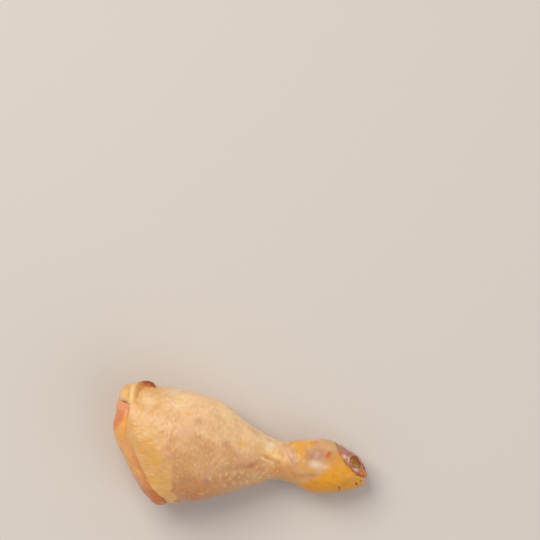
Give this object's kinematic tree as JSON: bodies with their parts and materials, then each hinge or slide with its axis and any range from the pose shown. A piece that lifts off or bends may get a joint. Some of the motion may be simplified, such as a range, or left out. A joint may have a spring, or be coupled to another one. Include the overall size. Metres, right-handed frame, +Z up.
{
  "type": "raw chicken drumstick",
  "caption": "Raw chicken drumstick with its skin on, lying on its side: bare meat at the knee end, a narrow neck and the cut joint at the ankle.",
  "frame": {"origin": "on the surface that the drumstick rests on, under the middle of its whole length and width", "axes": "+X along the leg from the knee end to the ankle; +Y across it, towards the side where the skin has rolled into a fold; +Z up, as it lies"},
  "size_m": [0.1304, 0.0612, 0.0432],
  "materials": {
    "skin": "moist, bumpy, slightly see-through",
    "meat": "wet, glossy",
    "bone": "moist, rough where cut",
    "cartilage": "smooth, wet",
    "tendon": "smooth, moist"
  },
  "bodies": {
    "root": {"skin": "skin", "meat": "meat", "bone": "bone", "knee_cartilage": "cartilage", "ankle_cartilage": "cartilage", "tendon": "tendon"}
  },
  "joints": []
}
